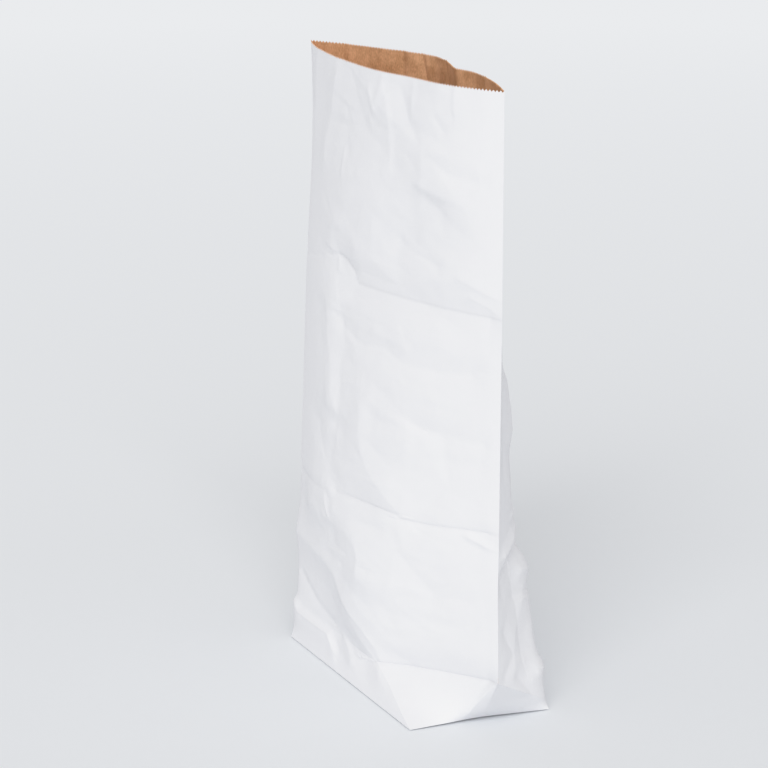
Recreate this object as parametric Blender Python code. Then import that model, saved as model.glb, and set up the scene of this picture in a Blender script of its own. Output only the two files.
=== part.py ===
"""Tall open paper sack standing on its block bottom.

The sack is one flat tube of stiff paper, white outside and brown inside, so it is modelled as one
thin closed solid with an open mouth. The tube has a side crease at each end and no gussets: its
flat width is the base's length plus its width. It was shipped folded in three, which left two
cross folds. Its bottom was folded up flat against the front, which left the skirt crease across the
front and, at each end, two creases that run from the side crease down to the base's corners.

Metres, +Z up. The origin is the centre of the base on the floor, the base's long side runs along
X and the shown broad face looks along -Y.
"""

import math

import bmesh
import bpy
from mathutils import Vector, noise

MM = 0.001

# Driving dimensions, in millimetres
BASE_LENGTH = 312
BASE_WIDTH = 150
LOW_FOLD = 184          # height of the lower cross fold
HIGH_FOLD = 404         # height of the upper cross fold
MOUTH = 618             # height of the mouth
WALL = 1.0              # modelled thickness of the paper
FOLD_GROOVE = 3.0       # how far a cross fold sinks between the side creases
CRUMPLE = 2.0           # height of the soft crumples in the faces
CRUMPLE_LENGTH = 70     # their size along the paper

HALF_L = BASE_LENGTH / 2
HALF_W = BASE_WIDTH / 2

# The lines on which the paper turns, in order round the tube from the near side crease. Each has
# one point on the base, the skirt crease, the belly, the waist, the two cross folds and the mouth.
# The back has no skirt crease: its second points lie low, so that the end creases run down to it.
TURNS = {
    # kicks out over the base's end, then stands almost straight
    "near crease": (
        (HALF_L, 0, 0), (205, -5, 54), (201, -3, 85), (197, -2, 140),
        (194, 0, LOW_FOLD), (186, 5, HIGH_FOLD), (174, 11, MOUTH)),
    # starts as the small fold in the end triangle, and ends where the mouth curves
    "front near": (
        (HALF_L, -20, 0), (199, -7, 53), (187, -9, 84), (179, -10, 138),
        (168, -13, LOW_FOLD), (148, -11, HIGH_FOLD), (110, -19, MOUTH)),
    # the middle of the front swells out above the low fold, so it turns here once more
    "front swell": (
        (HALF_L, -50, 0), (101, -43, 41), (60, -64, 74), (50, -68, 132),
        (60, -62, LOW_FOLD), (50, -37, HIGH_FOLD), (36, -27, MOUTH)),
    # climbs slantwise from the base's corner
    "front corner": (
        (HALF_L, -HALF_W, 0), (45, -64, 34), (6, -74, 70), (-10, -76, 130),
        (-66, -72, LOW_FOLD), (-93, -52, HIGH_FOLD), (-39, -37, MOUTH)),
    "front far corner": (
        (-HALF_L, -HALF_W, 0), (-160, -71, 40), (-175, -62, 80), (-184, -55, 130),
        (-186, -52, LOW_FOLD), (-210, -34, HIGH_FOLD), (-212, -18, MOUTH)),
    "far crease": (
        (-HALF_L, 0, 0), (-198, 0, 54), (-206, 0, 88), (-219, 0, 140),
        (-228, 0, LOW_FOLD), (-252, 0, HIGH_FOLD), (-274, -1, MOUTH)),
    "back far corner": (
        (-HALF_L, HALF_W, 0), (-154, 74, 10), (-148, 70, 64), (-140, 69, 130),
        (-130, 70, LOW_FOLD), (-140, 58, HIGH_FOLD), (-179, 40, MOUTH)),
    "back middle": (
        (0, HALF_W, 0), (0, 75, 25), (0, 75, 72), (0, 77, 132),
        (0, 78, LOW_FOLD), (-20, 68, HIGH_FOLD), (-78, 60, MOUTH)),
    # a pleat that only the top of the back wall has
    "back pleat": (
        (78, HALF_W, 0), (77, 74, 20), (72, 71, 70), (67, 69, 132),
        (66, 64, LOW_FOLD), (60, 47, HIGH_FOLD), (-5, 45, MOUTH)),
    "back corner": (
        (HALF_L, HALF_W, 0), (154, 74, 10), (142, 67, 64), (127, 65, 132),
        (130, 49, LOW_FOLD), (130, 27, HIGH_FOLD), (52, 42, MOUTH)),
}
LINES = [[Vector(point) for point in line] for line in TURNS.values()]

# Columns of faces in the panel that follows each turn, and rows in the band above each level
PANEL_COLUMNS = (3, 5, 4, 8, 4, 5, 6, 4, 4, 4)
BAND_ROWS = (3, 2, 3, 3, 10, 9)
# How far a panel bows outwards at each level, as a share of its width
BOW = (0, 0, 0.01, 0.015, 0.02, 0.02, 0.03)
FOLD_LEVELS = (4, 5)


def mix(a, b, t):
    """Value or vector a fraction t of the way from a to b."""
    return a * (1 - t) + b * t


def between(values, level, t):
    """Entry of a per-level list, a fraction t up the band above a level."""
    upper = min(level + 1, len(values) - 1)
    return mix(values[level], values[upper], t)


def skin_point(panel, u, level, t):
    """Point of the outer face, a fraction u across a panel and t up a band."""
    start = between(LINES[panel], level, t)
    end = between(LINES[(panel + 1) % len(LINES)], level, t)
    point = mix(start, end, u)
    along = end - start
    outward = Vector((-along.y, along.x, 0)).normalized()
    arch = math.sin(math.pi * u)
    offset = between(BOW, level, t) * along.length * arch
    if t == 0 and level in FOLD_LEVELS:
        offset -= FOLD_GROOVE * arch
    rise = min(1, point.z / CRUMPLE_LENGTH)
    offset += CRUMPLE * rise * arch * noise.noise(point / CRUMPLE_LENGTH)
    return (point + outward * offset) * MM


def ring(level, t):
    """One closed row of points round the tube."""
    return [
        skin_point(panel, column / columns, level, t)
        for panel, columns in enumerate(PANEL_COLUMNS)
        for column in range(columns)
    ]


def skin_rings():
    """All rows of points, from the base to the mouth."""
    rings = [
        ring(level, row / rows)
        for level, rows in enumerate(BAND_ROWS)
        for row in range(rows)
    ]
    return rings + [ring(len(BAND_ROWS), 0)]


def skin_mesh(name):
    """Outer face of the sack: the tube from base to mouth, and the flat bottom."""
    bm = bmesh.new()
    loops = [[bm.verts.new(point) for point in row] for row in skin_rings()]
    for lower, upper in zip(loops, loops[1:]):
        for i in range(len(lower)):
            bm.faces.new((lower[i - 1], lower[i], upper[i], upper[i - 1]))
    bm.faces.new(loops[0])
    bmesh.ops.recalc_face_normals(bm, faces=bm.faces[:])
    mesh = bpy.data.meshes.new(name)
    bm.to_mesh(mesh)
    bm.free()
    return mesh


def paper(name, colour):
    """Plain matt paper."""
    material = bpy.data.materials.new(name)
    material.use_nodes = True
    shader = material.node_tree.nodes["Principled BSDF"]
    shader.inputs["Base Color"].default_value = (*colour, 1.0)
    shader.inputs["Roughness"].default_value = 0.75
    shader.inputs["Metallic"].default_value = 0.0
    return material


def build_sack():
    """The one piece: its outer face thickened inwards, white outside and brown inside."""
    mesh = skin_mesh("sack")
    mesh.materials.append(paper("white_paper", (0.86, 0.86, 0.87)))
    mesh.materials.append(paper("brown_paper", (0.56, 0.31, 0.16)))
    sack = bpy.data.objects.new("sack", mesh)
    bpy.context.scene.collection.objects.link(sack)
    thickness = sack.modifiers.new("paper thickness", "SOLIDIFY")
    thickness.thickness = WALL * MM
    thickness.offset = -1
    thickness.use_even_offset = True
    thickness.use_quality_normals = True
    thickness.material_offset = 1


for old in list(bpy.data.objects):
    bpy.data.objects.remove(old, do_unlink=True)
build_sack()
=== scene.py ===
"""Looks of the tall open paper sack: white outside, brown inside, standing on its block bottom."""

import math

import bpy
import numpy as np
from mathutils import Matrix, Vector, geometry


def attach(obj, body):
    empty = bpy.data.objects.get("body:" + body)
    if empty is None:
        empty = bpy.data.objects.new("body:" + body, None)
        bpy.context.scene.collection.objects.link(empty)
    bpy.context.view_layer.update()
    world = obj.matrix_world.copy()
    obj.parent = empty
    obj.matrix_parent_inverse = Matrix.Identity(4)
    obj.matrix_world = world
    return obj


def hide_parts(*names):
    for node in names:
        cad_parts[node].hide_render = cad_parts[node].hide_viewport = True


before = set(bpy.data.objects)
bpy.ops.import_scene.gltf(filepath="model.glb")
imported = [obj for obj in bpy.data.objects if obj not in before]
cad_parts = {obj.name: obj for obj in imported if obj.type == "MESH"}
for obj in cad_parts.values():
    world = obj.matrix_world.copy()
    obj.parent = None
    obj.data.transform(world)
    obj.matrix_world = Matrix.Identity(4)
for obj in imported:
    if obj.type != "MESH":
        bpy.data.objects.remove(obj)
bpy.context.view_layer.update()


# The folded tube
#
# One flat tube of stiff paper with a hard crease down each side and no gussets. Its bottom was
# folded up flat and glued; opening it leaves the skirt crease, and packing left two cross folds.

MM = 0.001
HALF_L = 156            # half the base's length, mm
HALF_W = 75             # half the base's width
LOW_FOLD = 184          # height of the lower cross fold
HIGH_FOLD = 404         # height of the upper cross fold
MOUTH = 618             # height of the mouth

# The lines on which the paper turns, in order round the tube. Each has one point on the base, the
# skirt crease, the belly, the waist, the two cross folds and the mouth.
TURNS = {
    "near crease": (
        (HALF_L, 0, 0), (205, -5, 54), (201, -3, 85), (197, -2, 140),
        (194, 0, LOW_FOLD), (186, 5, HIGH_FOLD), (174, 11, MOUTH)),
    "front near": (
        (HALF_L, -20, 0), (199, -7, 53), (187, -9, 84), (179, -10, 138),
        (168, -13, LOW_FOLD), (148, -11, HIGH_FOLD), (110, -19, MOUTH)),
    "front swell": (
        (HALF_L, -50, 0), (101, -43, 41), (60, -64, 74), (50, -68, 132),
        (60, -62, LOW_FOLD), (50, -37, HIGH_FOLD), (36, -27, MOUTH)),
    "front corner": (
        (HALF_L, -HALF_W, 0), (45, -64, 34), (6, -74, 70), (-10, -76, 130),
        (-66, -72, LOW_FOLD), (-93, -52, HIGH_FOLD), (-39, -37, MOUTH)),
    "front far corner": (
        (-HALF_L, -HALF_W, 0), (-160, -71, 40), (-175, -62, 80), (-184, -55, 130),
        (-186, -52, LOW_FOLD), (-210, -34, HIGH_FOLD), (-212, -18, MOUTH)),
    "far crease": (
        (-HALF_L, 0, 0), (-198, 0, 54), (-206, 0, 88), (-219, 0, 140),
        (-228, 0, LOW_FOLD), (-252, 0, HIGH_FOLD), (-274, -1, MOUTH)),
    "back far corner": (
        (-HALF_L, HALF_W, 0), (-154, 74, 10), (-148, 70, 64), (-140, 69, 130),
        (-130, 70, LOW_FOLD), (-140, 58, HIGH_FOLD), (-179, 40, MOUTH)),
    "back middle": (
        (0, HALF_W, 0), (0, 75, 25), (0, 75, 72), (0, 77, 132),
        (0, 78, LOW_FOLD), (-20, 68, HIGH_FOLD), (-96, 64, MOUTH)),
    "back pleat": (
        (78, HALF_W, 0), (77, 74, 20), (72, 71, 70), (67, 69, 132),
        (66, 64, LOW_FOLD), (60, 47, HIGH_FOLD), (2, 39, MOUTH)),
    "back corner": (
        (HALF_L, HALF_W, 0), (154, 74, 10), (142, 67, 64), (127, 65, 132),
        (130, 49, LOW_FOLD), (130, 27, HIGH_FOLD), (30, 46, MOUTH)),
}
# How round each turn is at those levels: 0 is a hard crease and 1 a free curve
ROUNDNESS = {
    "near crease": (0, 0, 0, 0, 0, 0, 0),
    "front near": (0, 0.1, 0.6, 0.8, 1, 1, 1),
    "front swell": (0, 0.3, 0.8, 0.9, 0.9, 1, 1),
    "front corner": (0, 0, 0.3, 0.6, 0.5, 0.3, 1),
    "front far corner": (0, 0.2, 0.5, 0.7, 0.7, 0.8, 1),
    "far crease": (0, 0, 0, 0, 0, 0, 0),
    "back far corner": (0, 0.2, 0.6, 0.6, 0.6, 0.8, 1),
    "back middle": (0, 0.5, 1, 1, 1, 1, 0.2),
    "back pleat": (0, 0.5, 1, 1, 0.6, 0.4, 0.2),
    "back corner": (0, 0.1, 0.3, 0.3, 0.3, 0.5, 0.6),
}
BOW = (0, 0, 0.01, 0.015, 0.02, 0.02, 0.03)     # a panel's bulge, as a share of its width
SMOOTH_BANDS = (1, 2, 3)                        # bands between the skirt crease and the low fold
PANEL_COLUMNS = (34, 34, 38, 80, 30, 48, 40, 46, 16, 66)    # in the panel after each turn
BAND_ROWS = (20, 14, 24, 24, 110, 100)          # in the band above each level
CROWDING = 0.5                                  # rows lie closer together near each level
ROUNDING_PASSES = 60                            # more of them round every free turn further

turn_points = np.array(list(TURNS.values()), dtype=float)
turn_roundness = np.array(list(ROUNDNESS.values()), dtype=float)


def band_point(level, t):
    """Points of all the turns, a fraction t up the band above a level.

    Between the skirt crease and the low fold the turns are smooth curves through their points.
    """
    start = turn_points[:, level]
    end = turn_points[:, level + 1]
    if level not in SMOOTH_BANDS:
        return start * (1 - t) + end * t
    before = turn_points[:, level - 1] if level - 1 in SMOOTH_BANDS else 2 * start - end
    after = turn_points[:, level + 2] if level + 1 in SMOOTH_BANDS else 2 * end - start
    bend = 2 * before - 5 * start + 4 * end - after
    twist = 3 * start - before - 3 * end + after
    return (2 * start + (end - before) * t + bend * t ** 2 + twist * t ** 3) / 2


def spread_round(values):
    """Values given at the turns, spread evenly over the columns of the panels between them."""
    following = np.roll(values, -1, axis=0)
    columns = [
        values[panel] + (following[panel] - values[panel]) * column / count
        for panel, count in enumerate(PANEL_COLUMNS)
        for column in range(count)
    ]
    return np.array(columns)


def tube_rows():
    """Rows of points from base to mouth, and how free each point is to round off."""
    rows = []
    freedom = []
    across = [column / count for count in PANEL_COLUMNS for column in range(count)]
    arch = np.sin(math.pi * np.array(across))[:, None]
    turn_columns = np.cumsum((0,) + PANEL_COLUMNS[:-1])
    for level, count in enumerate(BAND_ROWS):
        last = level == len(BAND_ROWS) - 1
        for row in range(count + last):
            t = row / count - CROWDING * math.sin(2 * math.pi * row / count) / (2 * math.pi)
            turns = band_point(level, t)
            along = np.roll(turns, -1, axis=0) - turns
            along = np.repeat(along, PANEL_COLUMNS, axis=0)
            outward = np.stack([-along[:, 1], along[:, 0], 0 * along[:, 0]], axis=1)
            bow = BOW[level] * (1 - t) + BOW[level + 1] * t
            rows.append(spread_round(turns) + outward * bow * arch)
            free = np.ones(sum(PANEL_COLUMNS))
            free[turn_columns] = turn_roundness[:, level] * (1 - t) + turn_roundness[:, level + 1] * t
            freedom.append(free)
    return np.array(rows), np.array(freedom)


tube, freedom = tube_rows()
freedom[0] = 0          # the base keeps its hard edge
for _ in range(ROUNDING_PASSES):
    middle = (np.roll(tube, 1, axis=1) + np.roll(tube, -1, axis=1)) / 2
    tube = tube + (middle - tube) * freedom[:, :, None] / 2


# Folds and crumples
#
# Stiff paper keeps every fold as a straight line with a flat facet on each side. They come from
# packing, from opening the bottom and from hands at the mouth.

ROWS, COLUMNS = tube.shape[:2]
FRONT_PANELS = list(TURNS).index("far crease")
FAR_COLUMN = sum(PANEL_COLUMNS[:FRONT_PANELS])  # the column on the far side crease

along_row = np.roll(tube, -1, axis=1) - np.roll(tube, 1, axis=1)
outward = np.stack([-along_row[:, :, 1], along_row[:, :, 0], 0 * along_row[:, :, 0]], axis=2)
outward /= np.linalg.norm(outward, axis=2)[:, :, None]
relief = np.zeros((ROWS, COLUMNS))
# Rubbed lines along the folds: the colour drawn from them is partly wear and partly painted shade in
# the crease.
worn_and_shaded = np.zeros((ROWS, COLUMNS))

# The walls meet in a thin wedge at each side crease, so folds fade out over this distance from it
CREASE_FADE = 16        # mm
step = np.linalg.norm(np.roll(tube, -1, axis=1) - tube, axis=2)
walked = np.cumsum(step, axis=1) - step
walked_round = walked[:, -1:] + step[:, -1:]
from_near = np.minimum(walked, walked_round - walked)
from_far = np.abs(walked - walked[:, FAR_COLUMN][:, None])
fade = np.clip(np.minimum(from_near, from_far) / CREASE_FADE, 0, 1)
WALLS = {
    "front": np.arange(COLUMNS) <= FAR_COLUMN,
    "back": (np.arange(COLUMNS) >= FAR_COLUMN) | (np.arange(COLUMNS) == 0),
}
SOFTENING = 1.5         # a fold is crisp along its line and eases out at the edges of its facets
WORN_SHADED_LINE_WIDTH = 1.6        # half the width of the rubbed line along a fold, which also carries painted crease shade, mm


def fold(wall, height, left, right, path, wear_and_shade=0.0):
    """Fold a wall along a path of (x, z) points. All but the wear is in mm.

    height is how far the fold stands outwards. left and right are how far its facets reach on
    either side of the path, as seen from -Y. The last argument is how rubbed its line is and how dark
    its painted crease shade is, from 0 to 1.
    """
    columns = WALLS[wall]
    x = tube[:, columns, 0]
    z = tube[:, columns, 2]
    nearest = np.full(x.shape, np.inf)
    share = np.zeros(x.shape)
    for (x0, z0), (x1, z1) in zip(path, path[1:]):
        run = x1 - x0
        rise = z1 - z0
        along = np.clip(((x - x0) * run + (z - z0) * rise) / (run ** 2 + rise ** 2), 0, 1)
        off_x = x - x0 - along * run
        off_z = z - z0 - along * rise
        distance = np.hypot(off_x, off_z)
        reach = np.where(run * off_z - rise * off_x > 0, left, right)
        closer = distance < nearest
        nearest = np.where(closer, distance, nearest)
        share = np.where(closer, np.clip(1 - distance / reach, 0, 1), share)
    relief[:, columns] += height * share ** SOFTENING
    if wear_and_shade:
        line = np.exp(-(nearest / WORN_SHADED_LINE_WIDTH) ** 2)
        # This line darkens the paper along the fold: wear, and painted shade where shade falls in the
        # crease.
        worn_and_shaded[:, columns] = np.maximum(worn_and_shaded[:, columns], wear_and_shade * line)


# High cross fold: it turns up to a nick beside the front corner
fold("front", -3.2, 28, 42, ((-86, 424), (-66, 421), (-48, 412), (-41, 403), (190, 405)), wear_and_shade=0.8)
fold("front", -0.8, 16, 18, ((-252, 404), (-155, 411), (-122, 418), (-86, 424)))
fold("front", -0.7, 3, 5, ((-110, 420), (-86, 425), (-66, 422), (-48, 413)))
fold("front", 0.9, 4, 3, ((-83, 408), (-87, 421)))
fold("front", 0.8, 12, 10, ((135, 435), (158, 429), (184, 421)), wear_and_shade=0.4)
fold("front", 0.8, 8, 10, ((148, 420), (169, 414), (187, 405)), wear_and_shade=0.4)
fold("back", -3.0, 45, 45, ((-250, 404), (186, 404)), wear_and_shade=0.4)

# Low cross fold, in three lengths
fold("front", -1.4, 10, 16, ((-228, 184), (-160, 181), (-113, 183), (-65, 185), (-51, 178)), wear_and_shade=0.3)
fold("front", 1.0, 4, 5, ((-50, 162), (-62, 174)))
fold("front", -2.4, 26, 16, ((-40, 190), (24, 193), (76, 194)), wear_and_shade=0.4)
fold("front", 1.0, 12, 24, ((79, 178), (77, 196)))
fold("front", -1.8, 12, 24, ((79, 190), (110, 191), (148, 195), (193, 198)), wear_and_shade=0.5)
fold("front", -0.6, 3, 5, ((-30, 192), (76, 194), (79, 190), (110, 191), (148, 195), (193, 198)))
fold("front", 1.6, 8, 6, ((160, 189), (181, 184), (194, 181)), wear_and_shade=0.4)
fold("back", -3.0, 35, 35, ((-228, 184), (120, 184)), wear_and_shade=0.4)

# Down the front corner: a flat strip beside the fold, and the wedge that it ends in
fold("front", 1.0, 26, 20, ((-50, 262), (-70, 285), (-74, 310), (-90, 336), (-99, 362)))
fold("front", -1.5, 24, 48, ((-50, 264), (-52, 289), (-56, 311), (-52, 340), (-67, 366)))
fold("front", -1.0, 20, 50, ((-62, 200), (-58, 262)))
fold("front", 2.2, 40, 30, ((77, 196), (48, 213), (21, 229), (9, 239), (1, 263), (0, 287)))

# Soft folds across the middle of the front
fold("front", -2.2, 28, 22, ((-60, 357), (-24, 347), (30, 350), (61, 341), (114, 342), (153, 347)))
fold("front", 0.8, 10, 9, ((4, 364), (64, 358)))
fold("front", -1.4, 20, 16, ((20, 279), (66, 281), (115, 281), (173, 282)))
fold("front", 0.8, 26, 14, ((80, 260), (77, 283)))
fold("front", -1.0, 22, 44, ((100, 255), (136, 258), (170, 263)))
fold("front", -1.2, 15, 15, ((39, 456), (65, 451), (101, 444)))
fold("front", 0.9, 20, 22, ((72, 508), (112, 499)))

# Round the mouth, where hands have opened it
fold("front", 1.4, 34, 34, ((-207, 549), (-198, 562), (-205, 576), (-208, 612)))
fold("front", 1.3, 26, 22, ((-147, 516), (-147, 532), (-129, 565), (-121, 604)))
fold("front", 0.9, 7, 10, ((-86, 508), (-86, 529)))
fold("front", 0.9, 8, 8, ((-21, 580), (-32, 598)))
fold("front", 0.9, 10, 12, ((-19, 580), (-5, 612)))
fold("front", 0.9, 24, 10, ((18, 538), (14, 555), (11, 577), (2, 595)))
fold("front", 0.8, 10, 9, ((51, 588), (50, 612)))
fold("front", -0.8, 9, 8, ((92, 584), (106, 573)))
fold("front", -1.2, 17, 17, ((30, 600), (46, 577), (64, 560), (84, 547), (115, 533), (153, 530)))
fold("front", 0.7, 18, 14, ((70, 497), (75, 518), (76, 538), (74, 555)))
fold("front", 1.0, 6, 22, ((119, 596), (119, 617)))
fold("front", 0.6, 14, 10, ((155, 523), (153, 540)))
fold("front", 0.8, 30, 30, ((-103, 420), (-104, 453), (-137, 466)))
fold("back", 2.4, 22, 10, ((-146, 560), (-150, 618)))
fold("back", 2.0, 14, 8, ((-104, 570), (-120, 618)))
fold("back", 2.2, 20, 9, ((-236, 570), (-233, 618)))
fold("back", 1.8, 14, 12, ((-30, 560), (-52, 600), (-60, 618)))
fold("back", 1.2, 12, 8, ((60, 570), (70, 618)))

# Below the low fold, where the front corner steps down towards the base
fold("front", 3.6, 40, 38, ((-120, 160), (-32, 158), (-6, 158), (15, 151), (24, 136), (21, 118)))
fold("front", 4.6, 44, 34, (
    (-172, 114), (-127, 112), (-70, 113), (-36, 106), (-19, 91), (5, 75), (29, 64), (44, 51), (49, 38)))
fold("front", -1.8, 8, 12, ((-150, 74), (-132, 69), (-95, 55), (-53, 45), (-38, 38)), wear_and_shade=0.4)
fold("front", -0.9, 14, 14, ((67, 92), (102, 90), (170, 100)))
SKIRT_CREASE = ((47, 34), (123, 44), (203, 53))
fold("front", -5.2, 26, 60, SKIRT_CREASE)
fold("front", -0.8, 4, 6, SKIRT_CREASE, wear_and_shade=0.5)

# The skirt's own crumples, under the far half of the front
fold("front", 3.8, 9, 34, ((-159, 40), (-140, 33), (-103, 32), (-65, 31), (-45, 16)), wear_and_shade=0.4)
fold("front", 2.0, 7, 20, ((-50, 41), (-23, 34), (-6, 25)), wear_and_shade=0.4)
fold("front", -1.5, 30, 25, ((47, 2), (30, 25)))

# The near end of the back wall, pinched in at the low fold
fold("back", 3.5, 14, 14, ((112, 190), (140, 188), (160, 180), (193, 170)), wear_and_shade=0.5)
fold("back", -5.0, 12, 28, ((112, 170), (140, 170), (160, 164), (193, 150)))
fold("back", 1.5, 14, 34, ((156, 186), (156, 236)))
fold("back", 5.0, 30, 30, ((131, 285), (131, 335)))
fold("back", -2.0, 18, 26, ((170, 262), (168, 330)))
fold("back", 3.0, 9, 10, ((112, 204), (150, 204)))
fold("back", 1.8, 18, 20, ((182, 60), (174, 90), (146, 128)))
fold("back", -3.0, 22, 34, ((168, 70), (164, 140)))
fold("back", 4.0, 22, 16, ((128, 140), (148, 146)))
fold("back", 5.5, 14, 22, ((134, 48), (156, 44)))
fold("back", -1.6, 10, 10, ((196, 56), (180, 72), (190, 100)))
fold("back", -1.5, 8, 10, ((181, 48), (170, 24), (156, 8)))

# Paper is stiffest beside its creases, and hands have pulled the back of the mouth straight. Each
# pair is how far the paper stays flat, and over how much more it comes to crumple fully, in mm.
FLAT_BY_NEAR_CREASE = (20, 60)
FLAT_BY_FAR_CREASE = (110, 80)
FLAT_BELOW_BACK_RIM = (-12, 90)                 # below 0, as a little shows at the rim itself
LEAST_CRUMPLED = 0.06
FLAT_ABOVE_BASE = 25    # folds and crumples fade in over this height, mm

# Wide facets lie under smaller ones: (width in mm, depth in mm, how tall for their width)
CRUMPLES = ((90, 3.4, 0.4), (42, 0.75, 0.45), (20, 0.4, 0.5))
SEED = 21
FACET_REACH = 5         # a facet lies within this many widths of its corner
SAME_CORNER = 1e-6      # corners closer than this are one, mm


def ease_in(distance, flat):
    """0 over the flat part of a distance, then up to 1 over its second length."""
    return np.clip((distance - flat[0]) / flat[1], 0, 1)


crumpled = np.minimum(ease_in(from_near, FLAT_BY_NEAR_CREASE), ease_in(from_far, FLAT_BY_FAR_CREASE))
crumpled = np.maximum(crumpled, LEAST_CRUMPLED)
crumpled[:, WALLS["back"]] *= ease_in(MOUTH - tube[:, WALLS["back"], 2], FLAT_BELOW_BACK_RIM)
rng = np.random.RandomState(SEED)


def facets(wall, width, depth, tall):
    """Crumple a wall into random flat facets, two or three times as wide as they are tall."""
    columns = WALLS[wall]
    x = tube[:, columns, 0]
    z = tube[:, columns, 2] / tall
    low = (x.min() - width, z.min() - width)
    high = (x.max() + width, z.max() + width)
    count = int((high[0] - low[0]) * (high[1] - low[1]) / width ** 2)
    corners = [Vector(point) for point in rng.uniform(low, high, (count, 2))]
    corners, _, triangles, *_ = geometry.delaunay_2d_cdt(corners, [], [], 0, SAME_CORNER)
    heights = rng.uniform(-depth, depth, len(corners))
    for a, b, c in triangles:
        (ax, az), (bx, bz), (cx, cz) = corners[a], corners[b], corners[c]
        near = (np.abs(x - ax) < FACET_REACH * width) & (np.abs(z - az) < FACET_REACH * width)
        px = x[near]
        pz = z[near]
        area = (bx - ax) * (cz - az) - (cx - ax) * (bz - az)
        to_b = ((px - ax) * (cz - az) - (cx - ax) * (pz - az)) / area
        to_c = ((bx - ax) * (pz - az) - (px - ax) * (bz - az)) / area
        inside = (to_b >= 0) & (to_c >= 0) & (to_b + to_c <= 1)
        level = heights[a] + (heights[b] - heights[a]) * to_b + (heights[c] - heights[a]) * to_c
        part = np.zeros(x.shape)
        part[near] = np.where(inside, level, 0)
        relief[:, columns] += part * crumpled[:, columns]


for side in WALLS:
    for width, depth, tall in CRUMPLES:
        facets(side, width, depth, tall)

relief *= fade * np.clip(tube[:, :, 2] / FLAT_ABOVE_BASE, 0, 1)
shape = tube + outward * relief[:, :, None]


# The saw-cut mouth
#
# The tube is torn off over a toothed knife, so the rim is an even zigzag right round the mouth. Its
# cut edge shows the brown ply.

TOOTH = 1.0             # a tooth rises and falls this much about the mouth, mm
shape[-1, 0::2, 2] += TOOTH
shape[-1, 1::2, 2] -= TOOTH


# White outside paper
#
# Bleached kraft with a dry, faintly cloudy face. A fold breaks its fibres, which leaves the line a
# little rougher than the rest, and a little darker, partly from wear and partly as painted shade in the
# crease.

SHINE = 0.15            # dry paper hardly shines
CLOUD_DETAIL = 4
FIBRE_DETAIL = 3
CLOUD_SHARE = 0.5       # how much of the mottling is clouds; the rest is fibres
DARK_BELOW = 0.35       # mottling at which the paper has its darker colour
LIGHT_ABOVE = 0.62      # and at which it has its full colour
ROUGHNESS_SPREAD = 0.06
WORN_AND_SHADED_TINT = 0.92        # a worn fold's colour with its painted crease shade, against the paper's darker one
WORN_ROUGHNESS = 0.2    # how much rougher a worn fold is
BUMP_DEPTH = 0.0002     # m


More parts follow.
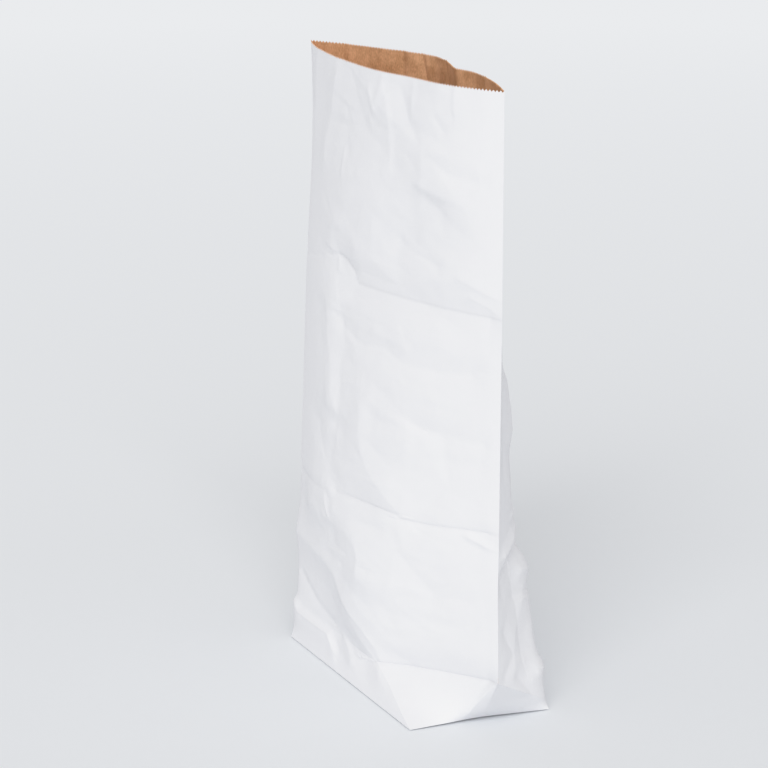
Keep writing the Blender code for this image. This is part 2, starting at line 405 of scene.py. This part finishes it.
def paper(name, colour, dark, cloud, grain, stretch, roughness, bump):
    """Matt paper: clouds and fibres in its colour, roughness and bump, and worn folds darkened with
    painted crease shade.

    cloud and grain are the scales of the two, and stretch draws the fibres out up the sack.
    """
    material = bpy.data.materials.new(name)
    material.use_nodes = True
    nodes = material.node_tree.nodes
    link = material.node_tree.links.new
    shader = nodes["Principled BSDF"]
    shader.inputs["Specular IOR Level"].default_value = SHINE
    place = nodes.new("ShaderNodeTexCoord")
    drawn_out = nodes.new("ShaderNodeMapping")
    drawn_out.inputs["Scale"].default_value = (1, 1, stretch)
    link(place.outputs["Object"], drawn_out.inputs["Vector"])
    clouds = nodes.new("ShaderNodeTexNoise")
    clouds.inputs["Scale"].default_value = cloud
    clouds.inputs["Detail"].default_value = CLOUD_DETAIL
    link(place.outputs["Object"], clouds.inputs["Vector"])
    fibres = nodes.new("ShaderNodeTexNoise")
    fibres.inputs["Scale"].default_value = grain
    fibres.inputs["Detail"].default_value = FIBRE_DETAIL
    link(drawn_out.outputs["Vector"], fibres.inputs["Vector"])
    blend = nodes.new("ShaderNodeMath")
    blend.operation = "MULTIPLY_ADD"
    blend.inputs[1].default_value = CLOUD_SHARE
    link(clouds.outputs["Fac"], blend.inputs[0])
    fibre_part = nodes.new("ShaderNodeMath")
    fibre_part.operation = "MULTIPLY"
    fibre_part.inputs[1].default_value = 1 - CLOUD_SHARE
    link(fibres.outputs["Fac"], fibre_part.inputs[0])
    link(fibre_part.outputs["Value"], blend.inputs[2])
    ramp = nodes.new("ShaderNodeValToRGB")
    ramp.color_ramp.elements[0].position = DARK_BELOW
    ramp.color_ramp.elements[0].color = (*dark, 1)
    ramp.color_ramp.elements[1].position = LIGHT_ABOVE
    ramp.color_ramp.elements[1].color = (*colour, 1)
    link(blend.outputs["Value"], ramp.inputs["Fac"])
    # Folds darkened in colour: part wear, part painted shade in the crease; they are also rougher.
    rubbed_and_shaded = nodes.new("ShaderNodeAttribute")
    rubbed_and_shaded.attribute_name = "worn_and_shaded"
    tint = nodes.new("ShaderNodeMix")
    tint.data_type = "RGBA"
    tint.inputs["B"].default_value = (*(WORN_AND_SHADED_TINT * part for part in dark), 1)
    link(rubbed_and_shaded.outputs["Fac"], tint.inputs["Factor"])
    link(ramp.outputs["Color"], tint.inputs["A"])
    link(tint.outputs["Result"], shader.inputs["Base Color"])
    rough = nodes.new("ShaderNodeMapRange")
    rough.inputs["To Min"].default_value = roughness - ROUGHNESS_SPREAD
    rough.inputs["To Max"].default_value = roughness + ROUGHNESS_SPREAD
    link(fibres.outputs["Fac"], rough.inputs["Value"])
    dry = nodes.new("ShaderNodeMath")
    dry.operation = "MULTIPLY_ADD"
    dry.inputs[1].default_value = WORN_ROUGHNESS
    link(rubbed_and_shaded.outputs["Fac"], dry.inputs[0])
    link(rough.outputs["Result"], dry.inputs[2])
    link(dry.outputs["Value"], shader.inputs["Roughness"])
    frayed = nodes.new("ShaderNodeMath")
    frayed.operation = "MULTIPLY_ADD"
    link(rubbed_and_shaded.outputs["Fac"], frayed.inputs[0])
    link(fibres.outputs["Fac"], frayed.inputs[1])
    link(blend.outputs["Value"], frayed.inputs[2])
    surface = nodes.new("ShaderNodeBump")
    surface.inputs["Strength"].default_value = bump
    surface.inputs["Distance"].default_value = BUMP_DEPTH
    link(frayed.outputs["Value"], surface.inputs["Height"])
    link(surface.outputs["Normal"], shader.inputs["Normal"])
    return material


white = paper(
    "white_paper", colour=(0.847, 0.85, 0.873), dark=(0.837, 0.84, 0.865),
    cloud=90, grain=700, stretch=0.12, roughness=0.62, bump=0.1)


# Brown inside paper
#
# The inner ply is unbleached kraft: cloudier than the white one, with long fibres that show as fine
# upright streaks.

brown = paper(
    "brown_paper", colour=(0.81, 0.47, 0.265), dark=(0.50, 0.26, 0.125),
    cloud=60, grain=900, stretch=0.4, roughness=0.7, bump=0.4)


# The sack
#
# Both plies are glued into one sheet, so the sack is one piece: the outer face, thickened inwards.
# It stands on the flat of its bottom, whose edge curls up a little off the floor.

THICKNESS = 0.5         # mm
SHARP_ANGLE = 25        # a fold sharper than this catches the light as a line, degrees
EDGE_CURL = 0.9         # how far the edge stands off the floor, mm
CURL_WIDTH = 8          # from the edge to the flat, mm
CURL_HEIGHT = 14        # the walls above the edge take up its curl over this height, mm
NEAR_LIFT = 2.8         # the foot of the near side crease stands this much higher, mm
NEAR_LIFT_FALL = 8      # the higher, the closer that lift keeps to the near end

near_end = np.clip(shape[0, :, 0] / HALF_L, 0, 1) ** NEAR_LIFT_FALL
lift = EDGE_CURL + NEAR_LIFT * near_end * (1 - np.abs(shape[0, :, 1]) / HALF_W)
shape[:, :, 2] += lift * np.clip(1 - tube[:, :, 2] / CURL_HEIGHT, 0, 1)
flat = shape[0] * (1 - CURL_WIDTH / HALF_L, 1 - CURL_WIDTH / HALF_W, 0)
shape = np.concatenate([flat[None], shape])
worn_and_shaded = np.concatenate([worn_and_shaded[:1], worn_and_shaded])

faces = [list(range(COLUMNS))]
for row in range(ROWS):
    for column in range(COLUMNS):
        here = row * COLUMNS + column
        beside = row * COLUMNS + (column + 1) % COLUMNS
        faces.append((here, here + COLUMNS, beside + COLUMNS, beside))
mesh = bpy.data.meshes.new("sack_paper")
mesh.from_pydata((shape * MM).reshape(-1, 3).tolist(), [], faces)
mesh.attributes.new("worn_and_shaded", "FLOAT", "POINT").data.foreach_set("value", worn_and_shaded.ravel())
mesh.materials.append(white)
mesh.materials.append(brown)
sack = bpy.data.objects.new("sack_paper", mesh)
bpy.context.scene.collection.objects.link(sack)
inward = sack.modifiers.new("thickness", "SOLIDIFY")
inward.thickness = THICKNESS * MM
inward.offset = -1
inward.material_offset = 1
inward.material_offset_rim = 1
sheet = bpy.data.meshes.new_from_object(sack.evaluated_get(bpy.context.evaluated_depsgraph_get()))
sack.modifiers.clear()
sack.data = sheet
sheet.shade_smooth()
sheet.set_sharp_from_angle(angle=math.radians(SHARP_ANGLE))
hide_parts("sack")
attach(sack, "root")


# Floor, light and camera
#
# A pale floor, its grey painted darker near the sack as painted shadow and lighter with distance as
# painted light, under an even sky and one broad key light that shines from in front of the near end.
# The tones ease off only near the paper's own white.

FLOOR_HALF = 14.0       # m
# The floor's grey is painted: painted shadow near the sack, painted light further off.
FLOOR_PAINTED_LIGHT_AND_SHADE = (         # (distance from the sack in m, grey)
    (0.0, 0.85), (0.35, 0.86), (0.6, 0.86), (0.9, 0.875), (2.5, 0.905), (4.5, 0.95), (6.0, 0.99))
FLOOR_REACH = FLOOR_PAINTED_LIGHT_AND_SHADE[-1][0]
FLOOR_TINT = (0.975, 1, 1.028)
bpy.ops.mesh.primitive_plane_add(size=2 * FLOOR_HALF, location=(0, 0, 0))
floor = bpy.context.object
floor.name = "floor"
floor_paint = bpy.data.materials.new("floor")
floor_paint.use_nodes = True
floor_nodes = floor_paint.node_tree.nodes
floor_link = floor_paint.node_tree.links.new
floor_shader = floor_nodes["Principled BSDF"]
floor_shader.inputs["Roughness"].default_value = 1.0
floor_shader.inputs["Specular IOR Level"].default_value = 0.0
floor_place = floor_nodes.new("ShaderNodeTexCoord")
away = floor_nodes.new("ShaderNodeVectorMath")
away.operation = "LENGTH"
floor_link(floor_place.outputs["Object"], away.inputs[0])
reached = floor_nodes.new("ShaderNodeMath")
reached.operation = "DIVIDE"
reached.inputs[1].default_value = FLOOR_REACH
floor_link(away.outputs["Value"], reached.inputs[0])
# Painted light and shade on the floor, by distance from the sack.
painted_light_ramp = floor_nodes.new("ShaderNodeValToRGB")
stops = painted_light_ramp.color_ramp.elements
while len(stops) < len(FLOOR_PAINTED_LIGHT_AND_SHADE):
    stops.new(0.5)
for stop, (distance, grey) in zip(stops, FLOOR_PAINTED_LIGHT_AND_SHADE):
    stop.position = distance / FLOOR_REACH
    stop.color = (*(grey * part for part in FLOOR_TINT), 1)
floor_link(reached.outputs["Value"], painted_light_ramp.inputs["Fac"])
floor_link(painted_light_ramp.outputs["Color"], floor_shader.inputs["Base Color"])
floor.data.materials.append(floor_paint)

SKY_COLOUR = (0.986, 0.98, 0.984, 1)
SKY_STRENGTH = 0.62
studio = bpy.data.worlds.new("studio")
bpy.context.scene.world = studio
studio.use_nodes = True
sky = studio.node_tree.nodes["Background"]
sky.inputs["Color"].default_value = SKY_COLOUR
sky.inputs["Strength"].default_value = SKY_STRENGTH

# Azimuths are in degrees round the sack, 0 from -Y and 90 from +X
KEY_AZIMUTH = 60
KEY_ELEVATION = 30
KEY_STRENGTH = 1.55
KEY_SPREAD = 50
key_light = bpy.data.lights.new("key", "SUN")
key_light.energy = KEY_STRENGTH
key_light.angle = math.radians(KEY_SPREAD)
key = bpy.data.objects.new("key", key_light)
key.rotation_euler = (math.radians(90 - KEY_ELEVATION), 0, math.radians(KEY_AZIMUTH))
bpy.context.scene.collection.objects.link(key)

CAMERA_AZIMUTH = 66.63
CAMERA_TILT = 13.41            # degrees downwards
CAMERA_DISTANCE = 2.888        # m
CAMERA_AIM = Vector((0, -0.035, 0.307))
CAMERA_LENS = 135.94           # mm
CAMERA_SENSOR = 36             # mm
camera_data = bpy.data.cameras.new("camera")
camera_data.lens = CAMERA_LENS
camera_data.sensor_width = CAMERA_SENSOR
camera = bpy.data.objects.new("camera", camera_data)
bpy.context.scene.collection.objects.link(camera)
camera.rotation_euler = (math.radians(90 - CAMERA_TILT), 0, math.radians(CAMERA_AZIMUTH))
back = Vector((
    math.cos(math.radians(CAMERA_TILT)) * math.sin(math.radians(CAMERA_AZIMUTH)),
    -math.cos(math.radians(CAMERA_TILT)) * math.cos(math.radians(CAMERA_AZIMUTH)),
    math.sin(math.radians(CAMERA_TILT))))
camera.location = CAMERA_AIM + back * CAMERA_DISTANCE
bpy.context.scene.camera = camera

view = bpy.context.scene.view_settings
view.view_transform = "Standard"
view.use_curve_mapping = True
view.curve_mapping.use_clip = False
BRIGHTEST = (1.5, 1.0)
SHOULDER = ((0.5, 0.5), (0.8, 0.8), (0.9, 0.87), (1.0, 0.91))      # (tone, how bright it is shown)
curve = view.curve_mapping.curves[3].points     # the one for all colours together
curve[1].location = BRIGHTEST
for tone, shown in SHOULDER:
    curve.new(tone, shown)
view.curve_mapping.update()
